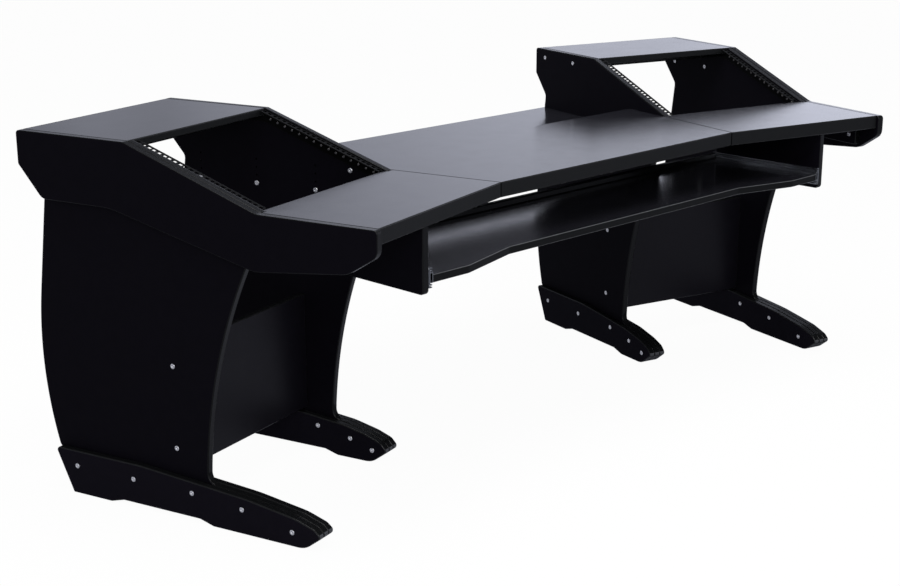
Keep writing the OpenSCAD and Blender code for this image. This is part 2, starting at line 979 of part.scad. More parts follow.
// A channel that opens towards +x, with its edges turned in
function channel(half, depth) =
    let (t = slide_wall)
    rounded([
        [0, -half, 1.5],
        [depth, -half, 0.8],
        [depth, -half + member_lip, 0],
        [depth - t, -half + member_lip, 0],
        [depth - t, -half + t, 0],
        [t, -half + t, 0.5],
        [t, half - t, 0.5],
        [depth - t, half - t, 0],
        [depth - t, half - member_lip, 0],
        [depth, half - member_lip, 0],
        [depth, half, 0.8],
        [0, half, 1.5]
    ]);

// A profile in the plane of slide depth and height, run the length of the slide. Depth
// is measured from the support towards the tray.
module slide_member(side, start) {
    x = support_x - start;
    color(slide_colour)
        on_desk()
            one_side(side)
                difference() {
                    translate([x, slide_len - support_front, slide_z])
                        mirror([1, 0, 0])
                            rotate([90, 0, 0])
                                linear_extrude(slide_len)
                                    children();
                    slide_screw_holes(x - slide_wall - 1, x + slide_wall + 1);
                }
}

module slide_outer(side) {
    slide_member(side, 0)
        polygon(channel(outer_half, outer_depth));
}

module slide_middle(side) {
    slide_member(side, middle_start)
        polygon(channel(middle_half, middle_depth));
}

// The inner member opens the other way and lies on the tray's edge
module slide_inner(side) {
    slide_member(side, slide_t)
        mirror([1, 0])
            polygon(channel(inner_half, slide_t - inner_start));
}

// A row of balls held in a strip, midway between the flanges of two members
module ball_row(flange_out, flange_in, depth) {
    ball_d = flange_out - flange_in - 2 * ball_gap;
    race_z = (flange_out + flange_in) / 2;
    pitch = cage_len / ball_count;
    strip_w = 0.7 * ball_d;
    for (way = [-1, 1])
        translate([support_x - depth, slide_len / 2 - support_front, slide_z + way * race_z]) {
            translate([-strip_w / 2, -cage_len / 2, -cage_t / 2])
                cube([strip_w, cage_len, cage_t]);
            for (i = [0:ball_count - 1])
                translate([0, (i + 0.5) * pitch - cage_len / 2, 0])
                    sphere(d = ball_d);
        }
}

module outer_ball_cages() {
    color(bolt_colour)
        on_desk()
            both_sides()
                ball_row(outer_half - slide_wall, middle_half, outer_ball_depth);
}

module inner_ball_cages() {
    color(bolt_colour)
        on_desk()
            both_sides()
                ball_row(middle_half - slide_wall, inner_half, inner_ball_depth);
}

// A low screw head on the face at x, with its shank running on along +x
module slide_screw(x, y, head_h) {
    translate([x, y, slide_z])
        rotate([0, 90, 0]) {
            translate([0, 0, -head_h])
                cylinder(d = screw_head_d, h = head_h);
            cylinder(d = screw_d, h = slide_wall + slide_screw_grip);
        }
}

// The screws that hold the outer members to the supports
module slide_screws() {
    color(bolt_colour)
        on_desk()
            both_sides()
                for (y = slide_screw_places)
                    slide_screw(support_x - slide_wall, y, slide_head_h);
}

// The screws that hold the inner members to the tray's edges
module tray_screws() {
    color(bolt_colour)
        on_desk()
            both_sides()
                for (y = slide_screw_places)
                    translate([2 * tray_half, 0, 0])
                        mirror([1, 0, 0])
                            slide_screw(tray_half - slide_wall, y, tray_head_h);
}

inner_leg(left);  // left_inner_leg
outer_leg(left);  // left_outer_leg
cheek(left);  // left_cheek
top_shelf(left);  // left_top_shelf
shelf_battens(left);  // left_shelf_battens
wing_top(left);  // left_wing_top
wing_cleats(left);  // left_wing_cleats
cross_panel(left);  // left_cross_panel
foot_plate(left, -board_t, inner_foot, inner_foot_bolts);  // left_inner_foot_plate
foot_plate(left, bay_start, inner_foot, inner_foot_bolts);  // left_inner_foot_bay_plate
foot_plate(left, bay_end - board_t, outer_foot, outer_foot_bolts);  // left_outer_foot_bay_plate
foot_plate(left, wing_w, outer_foot, outer_foot_bolts);  // left_outer_foot_plate
inner_rail(left);  // left_inner_rail
outer_rail(left);  // left_outer_rail
rail_screws(left);  // left_rail_screws
foot_bolts(left);  // left_foot_bolts
panel_bolts(left);  // left_panel_bolts
tray_support(left);  // left_tray_support
support_batten(left);  // left_support_batten
slide_outer(left);  // left_slide_outer
slide_middle(left);  // left_slide_middle
slide_inner(left);  // left_slide_inner
inner_leg(right);  // right_inner_leg
outer_leg(right);  // right_outer_leg
cheek(right);  // right_cheek
top_shelf(right);  // right_top_shelf
shelf_battens(right);  // right_shelf_battens
wing_top(right);  // right_wing_top
wing_cleats(right);  // right_wing_cleats
cross_panel(right);  // right_cross_panel
foot_plate(right, -board_t, inner_foot, inner_foot_bolts);  // right_inner_foot_plate
foot_plate(right, bay_start, inner_foot, inner_foot_bolts);  // right_inner_foot_bay_plate
foot_plate(right, bay_end - board_t, outer_foot, outer_foot_bolts);  // right_outer_foot_bay_plate
foot_plate(right, wing_w, outer_foot, outer_foot_bolts);  // right_outer_foot_plate
inner_rail(right);  // right_inner_rail
outer_rail(right);  // right_outer_rail
rail_screws(right);  // right_rail_screws
foot_bolts(right);  // right_foot_bolts
panel_bolts(right);  // right_panel_bolts
tray_support(right);  // right_tray_support
support_batten(right);  // right_support_batten
slide_outer(right);  // right_slide_outer
slide_middle(right);  // right_slide_middle
slide_inner(right);  // right_slide_inner
centre_top();
console_shelf();
seam_plates();
seam_screws();
tray_panel();
tray_lip();
slide_screws();
tray_screws();
outer_ball_cages();
inner_ball_cages();
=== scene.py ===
"""Looks of the studio desk: every board, rail and slide gets softened edges, and every piece
a procedural finish. Lengths are metres in the part's frame: X right, Y away from the user,
Z up. A pedestal's own frame turns that by its splay.
"""

import json
import math

import bmesh
import bpy
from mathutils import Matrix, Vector
from mathutils.bvhtree import BVHTree

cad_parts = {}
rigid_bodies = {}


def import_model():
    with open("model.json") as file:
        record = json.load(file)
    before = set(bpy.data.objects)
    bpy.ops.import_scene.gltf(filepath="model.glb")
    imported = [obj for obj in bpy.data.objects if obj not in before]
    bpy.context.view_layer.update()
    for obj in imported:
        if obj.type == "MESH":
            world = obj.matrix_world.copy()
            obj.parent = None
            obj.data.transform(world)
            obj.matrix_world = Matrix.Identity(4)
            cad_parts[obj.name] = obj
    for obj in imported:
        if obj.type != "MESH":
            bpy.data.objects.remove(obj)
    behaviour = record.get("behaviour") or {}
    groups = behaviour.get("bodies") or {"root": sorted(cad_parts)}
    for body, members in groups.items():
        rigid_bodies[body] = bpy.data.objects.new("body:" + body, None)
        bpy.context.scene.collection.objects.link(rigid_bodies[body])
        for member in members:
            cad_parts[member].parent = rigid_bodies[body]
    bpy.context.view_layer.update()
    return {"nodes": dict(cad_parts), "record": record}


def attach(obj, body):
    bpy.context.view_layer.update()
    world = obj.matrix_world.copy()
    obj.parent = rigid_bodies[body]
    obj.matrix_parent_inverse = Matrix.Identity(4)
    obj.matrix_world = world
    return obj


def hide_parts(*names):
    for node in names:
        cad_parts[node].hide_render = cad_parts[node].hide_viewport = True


# Image frame, and the camera solved from the photograph's straight lines
IMAGE_W = 900
IMAGE_H = 586
FOCAL_PX = 1627.49
CENTRE_PX = (462.845, 314.388)
SENSOR_MM = 36.0
CAMERA_PLACE = (-3.1067, -2.86524, 1.4997)
CAMERA_PITCH = -0.287896
CAMERA_YAW = -0.796426

# Material slots of a dressed piece: laminated faces, banded sides, softened edges (a painted
# highlight), the chamfers at seams (painted shade), the round tip of a toe (a painted
# highlight), and a foot's duller banding (painted light)
BOARD, EDGE, ARRIS, SEAM, TOE, FOOT = range(6)

# Width of the softened edges on each kind of piece, and how finely they are rounded
BOARD_ARRIS = 0.0024
CHEEK_ARRIS = 0.0015
TRAY_ARRIS = 0.0012
RAIL_ARRIS = 0.0003
SLIDE_ARRIS = 0.0002
ARRIS_STEPS = 2

# Edges that turn more than this are softened, apart from the rims of holes under this size
SHARP_ANGLE = math.radians(32)
SMALL_HOLE = 0.03

# The chamfer where two boards butt together, painted dark as the shade in the seam, and how
# near they have to be for it
SEAM_CHAMFER = 0.0020
SEAM_REACH = 0.0006

# The lower corner of a cheek's nose: how far its rounding runs along each side, and the
# largest area of one facet of its arc
NOSE_ROUND = 0.015
NOSE_FACET = 0.0001

# A foot: how far back from its front the toe's tip reaches, how far the tip's faces may tilt,
# and the height under which a leg's sides belong to its foot
TIP_REACH = 0.02
TIP_TILT = 0.5
FOOT_TOP = 0.12

# Reading a CAD mesh: the distance that welds corners, the turn that still counts as flat, the
# turn over which shading breaks, and the cosines of nearly along and nearly square
WELD = 1e-6
FLAT_ANGLE = math.radians(0.4)
SHADE_ANGLE = math.radians(35)
ALONG = 0.9
SQUARE = 0.1

# The pedestals' own frame and the slope that the rack rails lie in, from the CAD model
SPLAY = math.radians(15)
PEDESTAL_X = 0.448
PEDESTAL_DEPTH = 0.952
PEDESTAL_WIDTH = 0.540
CHEEK_REACH = 0.008
SLOPE_TOP = (0.642, 0.858)
SLOPE_RISE = 0.121
SLOPE_LENGTH = 0.3716
BAY = (0.018, 0.504)

# Rack rails
UNITS = 8
UNIT = 0.04445
UNIT_HOLES = (0.00635, 0.022225, 0.0381)
SQUARE_HOLE = 0.0095
HOLE_LINE = 0.01045
RAIL_START = 0.003
RAIL_RECESS = 0.003
RAIL_WIDTH = 0.021
RAIL_SIDE = 0.028
RAIL_STEEL = 0.002
RAIL_BEND = 0.003
BEND_STEPS = 4
RAIL_GAP = 0.0005

# Tints of the finishes
TOP_TINT = (1.0, 1.0, 1.3)
BOARD_TINT = (1.1, 0.95, 1.6)
BAND_TINT = (0.93, 0.99, 1.08)
ARRIS_TINT = (0.95, 0.99, 1.05)
DARK_ZINC_TINT = (1.06, 1.0, 0.96)
ZINC_TINT = (0.97, 1.0, 1.03)
NICKEL_TINT = (1.0, 0.99, 0.98)
NEUTRAL = (1.0, 1.0, 1.0)

# Patterns of the finishes, in features per metre
CLOUD_SCALE = 40.0
GRAIN_SCALE = 1400.0
SHEEN_SCALE = 22.0
SCUFF_SCALE = 70.0
EDGE_HIGHLIGHT_SCALE = 35.0
SKIN_SCALE = 900.0
COAT_SCALE = 30.0
LINE_SCALE = 500.0
STAIN_SCALE = 45.0
FLOOR_SCALE = 60.0

# Depth of each relief, and how strongly it tilts the surface
PEBBLE_STRENGTH = 0.35
SCUFF_RELIEF = (0.00001, 0.05)
SKIN_RELIEF = (0.00006, 0.5)
LINE_RELIEF = (0.00003, 0.25)

# The part of a noise's range that drives roughness, and shades and roughness that every
# arris, powder coat or metal shares
NOISE_MIDDLE = (0.3, 0.7)
ARRIS_ROUGH = (0.19, 0.30)
COAT_ROUGH = (0.24, 0.34)
COAT_SHADES = (0.8, 1.25)
STAIN_SHADE = 0.88

# How bright reflections see the studio's wall, by degrees from +Y towards +X
WALL = (
    (0, 0.70),
    (20, 0.46),
    (30, 0.32),
    (33, 0.50),
    (34.7, 0.37),
    (37, 0.52),
    (42, 0.68),
    (47, 0.89),
    (54, 1.02),
    (57.5, 1.42),
    (75, 1.78),
    (100, 0.60),
    (140, 0.45),
    (180, 0.90),
    (270, 0.90),
    (310, 0.50),
    (360, 0.70),
)

# The wall fades over this range of a direction's rise, to this share of its level
WALL_TOP = (0.30, 0.43)
WALL_OVERHEAD = 0.18
STUDIO_TINT = (0.965, 1.0, 1.17)
SKY_FILL = 0.55

# The floor: half its side, its own greys, and how it looks to the camera and in reflections
FLOOR_HALF = 30.0
FLOOR_SHADES = (0.80, 0.84)
FLOOR_ROUGH = 0.9
FLOOR_GLOSS = 0.1
FLOOR_GLOW = 0.965
FLOOR_IN_GLOSS = 0.3

# Softboxes: name, place, target, width, height and watts
SOFTBOXES = (
    ("overhead", (-0.4, -0.8, 3.6), (0.0, -0.1, 0.7), 3.0, 2.2, 110.0),
    ("front_left", (-3.4, -3.6, 2.6), (0.0, 0.0, 0.5), 1.6, 1.6, 45.0),
)


def clear_scene():
    for block in (bpy.data.objects, bpy.data.lights, bpy.data.cameras):
        for item in list(block):
            block.remove(item)


def link(name, data):
    item = bpy.data.objects.new(name, data)
    bpy.context.scene.collection.objects.link(item)
    return item


# Shader helpers


def new_material(name):
    material = bpy.data.materials.new(name)
    material.use_nodes = True
    tree = material.node_tree
    return material, tree, tree.nodes["Principled BSDF"]


def add_node(tree, kind, inputs=None, **settings):
    """A new node. An input given as a socket is linked, and any other is set."""
    node = tree.nodes.new(kind)
    for key, value in settings.items():
        setattr(node, key, value)
    for key, value in (inputs or {}).items():
        if isinstance(value, bpy.types.NodeSocket):
            tree.links.new(value, node.inputs[key])
        else:
            node.inputs[key].default_value = value
    return node


def arithmetic(tree, operation, *values):
    inputs = dict(enumerate(values))
    return add_node(tree, "ShaderNodeMath", inputs, operation=operation).outputs[0]


def grey(level, tint=NEUTRAL):
    return (*(level * t for t in tint), 1.0)


def noise(tree, scale, detail, stretch=(1.0, 1.0, 1.0), seed=0.0):
    """Noise in the piece's own metres, with so many features per metre."""
    place = add_node(tree, "ShaderNodeTexCoord").outputs["Object"]
    mapping = add_node(tree, "ShaderNodeMapping", {"Vector": place})
    mapping.inputs["Scale"].default_value = stretch
    mapping.inputs["Location"].default_value = (seed, seed, seed)
    inputs = {"Vector": mapping.outputs["Vector"], "Scale": scale, "Detail": detail}
    return add_node(tree, "ShaderNodeTexNoise", inputs).outputs["Fac"]


def spread(tree, value, low, high, start, end):
    """Maps the range from start to end onto the one from low to high."""
    ends = {"From Min": start, "From Max": end, "To Min": low, "To Max": high}
    return add_node(tree, "ShaderNodeMapRange", {"Value": value, **ends}).outputs["Result"]


def blend_colours(tree, value, dark, light):
    mix = add_node(tree, "ShaderNodeMix", {"Factor": value}, data_type="RGBA")
    mix.inputs["A"].default_value = dark
    mix.inputs["B"].default_value = light
    return mix.outputs["Result"]


def shade_by(tree, shader, pattern, shades, tint=NEUTRAL):
    dark, light = (grey(level, tint) for level in shades)
    tree.links.new(blend_colours(tree, pattern, dark, light), shader.inputs["Base Color"])


def roughen_by(tree, shader, pattern, rough):
    level = spread(tree, pattern, *rough, *NOISE_MIDDLE)
    tree.links.new(level, shader.inputs["Roughness"])


def bump(tree, shader, height, depth, strength):
    inputs = {"Height": height, "Distance": depth, "Strength": strength}
    relief = add_node(tree, "ShaderNodeBump", inputs)
    tree.links.new(relief.outputs["Normal"], shader.inputs["Normal"])


# Finishes


def laminate(name, shades, rough, gloss, pebble, tint=TOP_TINT):
    """Melamine laminate: a fine pebbled grain, and a gloss with faint, large unevenness."""
    material, tree, shader = new_material(name)
    shade_by(tree, shader, noise(tree, CLOUD_SCALE, 4.0), shades, tint)
    roughen_by(tree, shader, noise(tree, SHEEN_SCALE, 4.0, seed=1.3), rough)
    shader.inputs["Specular IOR Level"].default_value = gloss
    bump(tree, shader, noise(tree, GRAIN_SCALE, 2.0, seed=3.7), pebble, PEBBLE_STRENGTH)
    return material


def edge_band(name, shades, rough, gloss):
    """Plastic edge banding: smoother than the laminate, with scuffs drawn out upright."""
    material, tree, shader = new_material(name)
    scuffs = noise(tree, SCUFF_SCALE, 3.0, stretch=(1.0, 1.0, 0.3), seed=5.1)
    shade_by(tree, shader, scuffs, shades, BAND_TINT)
    roughen_by(tree, shader, scuffs, rough)
    shader.inputs["Specular IOR Level"].default_value = gloss
    bump(tree, shader, scuffs, *SCUFF_RELIEF)
    return material


def arris(name, shades, gloss):
    """The trimmed corner of a board, painted paler than its faces in patches, as a painted
    highlight.
    """
    material, tree, shader = new_material(name)
    highlight_patches = noise(tree, EDGE_HIGHLIGHT_SCALE, 6.0, seed=8.4)
    shade_by(tree, shader, highlight_patches, shades, ARRIS_TINT)
    roughen_by(tree, shader, highlight_patches, ARRIS_ROUGH)
    shader.inputs["Specular IOR Level"].default_value = gloss
    return material


def powder_coat(name, level, gloss):
    """Black powder coat on steel: a tight orange-peel skin."""
    material, tree, shader = new_material(name)
    skin = noise(tree, SKIN_SCALE, 1.5, seed=2.2)
    cloud = noise(tree, COAT_SCALE, 3.0, seed=6.0)
    shade_by(tree, shader, cloud, [level * share for share in COAT_SHADES])
    roughen_by(tree, shader, cloud, COAT_ROUGH)
    shader.inputs["Specular IOR Level"].default_value = gloss
    bump(tree, shader, skin, *SKIN_RELIEF)
    return material


def metal(name, level, rough, tint=NEUTRAL, stretch=(1.0, 1.0, 1.0)):
    """Bright metal with fine lines along its rolled or turned direction."""
    material, tree, shader = new_material(name)
    lines = noise(tree, LINE_SCALE, 4.0, stretch=stretch, seed=4.4)
    stain = noise(tree, STAIN_SCALE, 3.0, seed=9.1)
    shade_by(tree, shader, stain, (level * STAIN_SHADE, level), tint)
    roughen_by(tree, shader, lines, rough)
    shader.inputs["Metallic"].default_value = 1.0
    bump(tree, shader, lines, *LINE_RELIEF)
    return material


def make_materials():
    board = dict(rough=(0.46, 0.52), gloss=0.021, pebble=0.00004, tint=BOARD_TINT)
    panel = dict(rough=(0.32, 0.38), gloss=0.20, pebble=0.00004, tint=BOARD_TINT)
    top = dict(rough=(0.17, 0.19), gloss=0.5, pebble=0.00001)
    tray = dict(rough=(0.13, 0.15), gloss=0.92, pebble=0.00001)
    return {
        "board": laminate("board_laminate", (0.0027, 0.0035), **board),
        # The foot plates take a paler copy of the board laminate, as painted light
        "foot": laminate("foot_laminate_painted_light", (0.0042, 0.0054), **board),
        # The cross panels take a paler, glossier copy of the board laminate; its paler colour
        # is painted light
        "panel": laminate("panel_laminate_painted_light", (0.0032, 0.0042), **panel),
        "top": laminate("top_laminate", (0.011, 0.014), **top),
        "tray": laminate("tray_laminate", (0.008, 0.011), **tray),
        "edge": edge_band("edge_band", (0.0022, 0.0032), (0.21, 0.25), 0.25),
        # The desktop's banding is paler than the boards': partly its own tone, partly painted
        # light on the front edges
        "top_edge": edge_band("desktop_edge_band_tone_and_painted_light", (0.0055, 0.0075), (0.40, 0.46), 0.15),
        "tray_edge": edge_band("tray_edge_band", (0.0045, 0.0060), (0.40, 0.46), 0.10),
        # The feet's banding is a paler, duller copy of the edge band, as painted light
        "foot_edge": edge_band("foot_edge_band_painted_light", (0.0042, 0.0058), (0.36, 0.42), 0.06),
        # The toe's tip is painted pale and glossy, as a painted highlight
        "toe": edge_band("toe_painted_highlight", (0.022, 0.032), (0.26, 0.32), 0.9),
        # Seam chamfers are painted dark, as the shade between butted boards
        "seam": edge_band("seam_painted_shade", (0.0015, 0.003), (0.5, 0.6), 0.02),
        # Softened edges are painted paler than their faces, as a painted highlight along each
        # edge
        "arris": arris("arris", (0.003, 0.006), 0.16),
        "top_arris_painted_highlight": arris("desktop_arris_painted_highlight", (0.008, 0.016), 0.3),
        "tray_arris_painted_highlight": arris("tray_arris_painted_highlight", (0.06, 0.10), 0.5),
        "foot_arris_painted_highlight": arris("foot_arris_painted_highlight", (0.008, 0.014), 0.22),
        "rail": powder_coat("rail_powder_coat", 0.003, 0.065),
        # The rail's side flange takes a darker copy of its powder coat as painted shade, and
        # its softened edges a paler one as a painted highlight
        "rail_side": powder_coat("rail_side", 0.002, 0.02),
        "rail_edge_painted_highlight": powder_coat("rail_edge_painted_highlight", 0.005, 0.09),
        "dark_bolt": metal("dark_zinc_steel", 0.16, (0.25, 0.38), DARK_ZINC_TINT),
        "bolt": metal("nickel_plated_steel", 0.92, (0.28, 0.40), NICKEL_TINT),
        "slide": metal("zinc_plated_steel", 0.60, (0.16, 0.26), ZINC_TINT, (1.0, 0.05, 1.0)),
        "ball": metal("ball_steel", 0.85, (0.05, 0.09)),
    }


# Pieces


def is_sharp(edge):
    return len(edge.link_faces) == 2 and edge.calc_face_angle(0.0) > SHARP_ANGLE


def face_direction(bm):
    """The normal that most of a board's surface shares, which is its laminated faces'."""
    areas = {}
    for face in bm.faces:
        key = max(tuple(round(sign * c, 2) for c in face.normal) for sign in (1, -1))
        areas[key] = areas.get(key, 0.0) + face.calc_area()
    return Vector(max(areas, key=areas.get)).normalized()


def far_edge(face, edge):
    """The edge across a side face from the given one."""
    return next(other for other in face.edges if not set(other.verts) & set(edge.verts))


def round_nose(bm, across):
    """Gives the lower corner of a cheek's nose its full rounding, on the arc that it has."""
    sides = [
        face
        for face in bm.faces
        if abs(face.normal.dot(across)) < SQUARE and abs(face.normal.z) < SQUARE
    ]
    nose = min(sides, key=lambda side: side.calc_center_median().y)
    edge = min(nose.edges, key=lambda e: e.verts[0].co.z + e.verts[1].co.z)
    face, arc = nose, [edge]
    while True:
        face = next(other for other in edge.link_faces if other is not face)
        edge = far_edge(face, edge)
        if face.calc_area() > NOSE_FACET:
            break
        arc.append(edge)
    down = Vector((0.0, 0.0, -1.0))
    inward = -nose.normal
    for pick in (0, 1):
        row = [sorted(e.verts, key=lambda v: v.co.dot(across))[pick] for e in arc]
        chin_end = sorted(edge.verts, key=lambda v: v.co.dot(across))[pick].co
        turn = down.angle((chin_end - row[-1].co).normalized())
        corner_drop = (row[-1].co - row[0].co).length / (2 * math.cos(turn / 2))
        corner = row[0].co + down * corner_drop
        radius = NOSE_ROUND / math.tan(turn / 2)
        centre = corner - down * NOSE_ROUND + inward * radius
        for number, vert in enumerate(row):
            at = turn * number / (len(row) - 1)
            vert.co = centre + radius * (down * math.sin(at) - inward * math.cos(at))


def cut_seams(bm, neighbours):
    """Chamfers the edges that butt against a neighbour, and paints the chamfer dark as the
    seam's shade.
    """
    seams = []
    for edge in filter(is_sharp, bm.edges):
        middle = (edge.verts[0].co + edge.verts[1].co) / 2
        if any(tree.find_nearest(middle, SEAM_REACH)[0] is not None for tree in neighbours):
            seams.append(edge)
    bmesh.ops.bevel(
        bm,
        geom=seams,
        offset=SEAM_CHAMFER,
        offset_type="OFFSET",
        segments=1,
        profile=0.5,
        affect="EDGES",
        clamp_overlap=False,
        material=SEAM,
    )


def mark_foot(bm):
    """A foot's duller banding, painted paler as painted light, and the round tip of its toe,
    painted pale and glossy as a painted highlight.
    """
    front = min(vert.co.y for vert in bm.verts)
    for face in bm.faces:
        middle = face.calc_center_median()
        if face.material_index == EDGE and middle.z < FOOT_TOP:
            tip = middle.y < front + TIP_REACH and abs(face.normal.z) < TIP_TILT
            face.material_index = TOE if tip else FOOT


def sharp_chains(bm):
    """The sharp edges, in groups that hang together."""
    sharp = set(filter(is_sharp, bm.edges))
    while sharp:
        chain, ends = [], [sharp.pop()]
        while ends:
            edge = ends.pop()
            chain.append(edge)
            for vert in edge.verts:
                for other in vert.link_edges:
                    if other in sharp:
                        sharp.remove(other)
                        ends.append(other)
        yield chain


def edge_weights(bm):
    """Every sharp edge gets the arris, but for the rims of small holes and the seams."""
    weights = bm.edges.layers.float.new("bevel_weight_edge")
    for chain in sharp_chains(bm):
        ends = [vert.co for edge in chain for vert in edge.verts]
        sides = [[place[axis] for place in ends] for axis in range(3)]
        if max(max(side) - min(side) for side in sides) < SMALL_HOLE:
            continue
        for edge in chain:
            if all(face.material_index != SEAM for face in edge.link_faces):
                edge[weights] = 1.0


def add_bevel(piece, width, weighted):
    bevel = piece.modifiers.new("arris", "BEVEL")
    bevel.width = width
    bevel.segments = ARRIS_STEPS
    bevel.limit_method = "WEIGHT" if weighted else "ANGLE"
    bevel.angle_limit = SHARP_ANGLE
    bevel.use_clamp_overlap = not weighted
    # The bevel's faces take the arris slot, which carries the painted highlight
    bevel.material = ARRIS
    flats = piece.modifiers.new("flat_faces", "WEIGHTED_NORMAL")
    flats.mode = "FACE_AREA"
    flats.weight = 100
    flats.keep_sharp = True


def make_piece(name, bm, materials, body, *stands_for):
    mesh = bpy.data.meshes.new(name)
    bm.to_mesh(mesh)
    bm.free()
    for material in materials:
        mesh.materials.append(material)
    for polygon in mesh.polygons:
        polygon.use_smooth = True
    mesh.set_sharp_from_angle(angle=SHADE_ANGLE)
    piece = link(name, mesh)
    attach(piece, body)
    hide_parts(*stands_for)
    return piece


def dressed(node, body, materials, width, neighbours):
    """A copy of a CAD node with softened edges, which stands for it on its body."""
    bm = bmesh.new()
    bm.from_mesh(node.data)
    bmesh.ops.remove_doubles(bm, verts=bm.verts, dist=WELD)
    across = face_direction(bm)
    for face in bm.faces:
        face.material_index = BOARD if abs(face.normal.dot(across)) > ALONG else EDGE
    if node.name.endswith(("_leg", "_plate")):
        mark_foot(bm)
    if width:
        bmesh.ops.dissolve_limit(
            bm,
            angle_limit=FLAT_ANGLE,
            verts=bm.verts,
            edges=bm.edges,
            delimit={"MATERIAL"},
        )
        if node.name.endswith("_cheek"):
            round_nose(bm, across)
        if neighbours:
            cut_seams(bm, neighbours)
        edge_weights(bm)
    piece = make_piece(f"{node.name}_finished", bm, materials, body, node.name)
    if width:
        add_bevel(piece, width, weighted=True)
    return piece


def rail_profile():
    """The outer skin's section as (across, depth), from the free edge round to the side's."""
    half = SQUARE_HOLE / 2
    flange = (RAIL_WIDTH, HOLE_LINE + half, HOLE_LINE - half)
    profile = [(across, RAIL_RECESS) for across in flange]
    for step in range(BEND_STEPS + 1):
        turn = math.radians(90) * step / BEND_STEPS
        across = RAIL_BEND * (1 - math.sin(turn))
        depth = RAIL_RECESS + RAIL_BEND * (1 - math.cos(turn))
        profile.append((across, depth))
    profile.append((0.0, RAIL_RECESS + RAIL_SIDE))
    return profile


def rail_stations():
    """Distances down the slope at the rail's ends and at the edges of its holes."""
    half = SQUARE_HOLE / 2
    stations = [RAIL_START]
    for unit in range(UNITS):
        for hole in UNIT_HOLES:
            middle = RAIL_START + unit * UNIT + hole
            stations += [middle - half, middle + half]
    return [*stations, RAIL_START + UNITS * UNIT]


def rail_sheet(side, outer):
    """The rail's outer skin, folded along its bend and with its square holes left out."""
    slope = math.asin(SLOPE_RISE / SLOPE_LENGTH)
    middle_y = (
        PEDESTAL_DEPTH * math.cos(SPLAY)
        - PEDESTAL_WIDTH * math.sin(SPLAY)
        - CHEEK_REACH * math.cos(SPLAY)
    ) / 2
    start, inward = (BAY[1], -1) if outer else (BAY[0], 1)

    def place(across, depth, down):
        a = start + inward * across
        b = SLOPE_TOP[0] - down * math.cos(slope) + depth * math.sin(slope)
        z = SLOPE_TOP[1] - down * math.sin(slope) - depth * math.cos(slope)
        x = PEDESTAL_X + a * math.cos(SPLAY) + b * math.sin(SPLAY)
        y = -a * math.sin(SPLAY) + b * math.cos(SPLAY) - middle_y
        return (side * x, y, z)

    def clear_of_shelf(depth):
        return (RAIL_GAP + depth * math.sin(slope)) / math.cos(slope)

    bm = bmesh.new()
    profile = rail_profile()
    rows = []
    for down in rail_stations():
        row = []
        for across, depth in profile:
            at = down if rows else max(down, clear_of_shelf(depth))
            row.append(bm.verts.new(place(across, depth, at)))
        rows.append(row)
    for number, (upper, lower) in enumerate(zip(rows, rows[1:])):
        for column in range(len(profile) - 1):
            hole = column == 1 and number % 2 == 1
            if not hole:
                strip = (upper[column], upper[column + 1], lower[column + 1], lower[column])
                face = bm.faces.new(strip)
                face.material_index = EDGE if column == len(profile) - 2 else BOARD
    return bm


def make_rail(name, body, materials):
    """A rack rail with the square holes of a standard strip."""
    side = -1 if name.startswith("left") else 1
    bm = rail_sheet(side, "outer" in name)
    bm.faces.ensure_lookup_table()
    bm.normal_update()
    if bm.faces[0].normal.z < 0:
        bmesh.ops.reverse_faces(bm, faces=bm.faces)
    piece = make_piece(f"{name}_square_holes", bm, materials, body, name)
    steel = piece.modifiers.new("steel", "SOLIDIFY")
    steel.thickness = RAIL_STEEL
    steel.offset = -1.0
    steel.use_even_offset = True
    add_bevel(piece, RAIL_ARRIS, weighted=False)
    return piece


def is_top(name):
    ends = ("centre_top", "console_shelf", "_wing_top", "_top_shelf")
    return name.endswith(ends)


def finish_of(name, m):
    """A node's materials in the order of their slots, its arris width and its record slot."""
    if is_top(name):
        keys = ("top", "top_edge", "top_arris_painted_highlight", "seam")
        width, slot = BOARD_ARRIS, "top_laminate"
    elif name == "tray_panel":
        keys, width, slot = ("tray", "tray_edge", "tray_arris_painted_highlight"), TRAY_ARRIS, "tray_laminate"
    elif "cages" in name:
        keys, width, slot = ("ball",) * 3, 0.0, "slide_steel"
    elif name.endswith("_rail_screws"):
        keys, width, slot = ("dark_bolt",) * 3, 0.0, "bolt_steel"
    elif "screws" in name or name.endswith("_bolts"):
        keys, width, slot = ("bolt",) * 3, 0.0, "bolt_steel"
    elif "slide" in name or name == "seam_plates":
        keys, width, slot = ("slide",) * 3, SLIDE_ARRIS, "slide_steel"
    elif name.endswith("_rail"):
        keys, width, slot = ("rail", "rail_side", "rail_edge_painted_highlight"), RAIL_ARRIS, "rail_steel"
    elif name.endswith("_cross_panel"):
        keys, width, slot = ("panel", "edge", "arris"), BOARD_ARRIS, "board_laminate"
    elif name.endswith("_cheek"):
        keys, width, slot = ("board", "edge", "arris"), CHEEK_ARRIS, "board_laminate"
    elif name.endswith("_leg"):
        keys = ("board", "edge", "arris", "seam", "toe", "foot_edge")
        width, slot = BOARD_ARRIS, "board_laminate"
    elif name.endswith("_plate"):
        keys = ("foot", "edge", "foot_arris_painted_highlight", "seam", "toe", "foot_edge")
        width, slot = BOARD_ARRIS, "board_laminate"
    else:
        keys, width, slot = ("board", "edge", "arris"), BOARD_ARRIS, "board_laminate"
    return [m[key] for key in keys], width, slot


def seam_mates(name):
    """The boards that a top butts against with a seam that shows."""
    side = name.split("_")[0]
    return {
        "centre_top": ("left_wing_top", "right_wing_top"),
        f"{side}_wing_top": ("centre_top", f"{side}_cheek"),
        f"{side}_top_shelf": (f"{side}_cheek",),
    }.get(name, ())


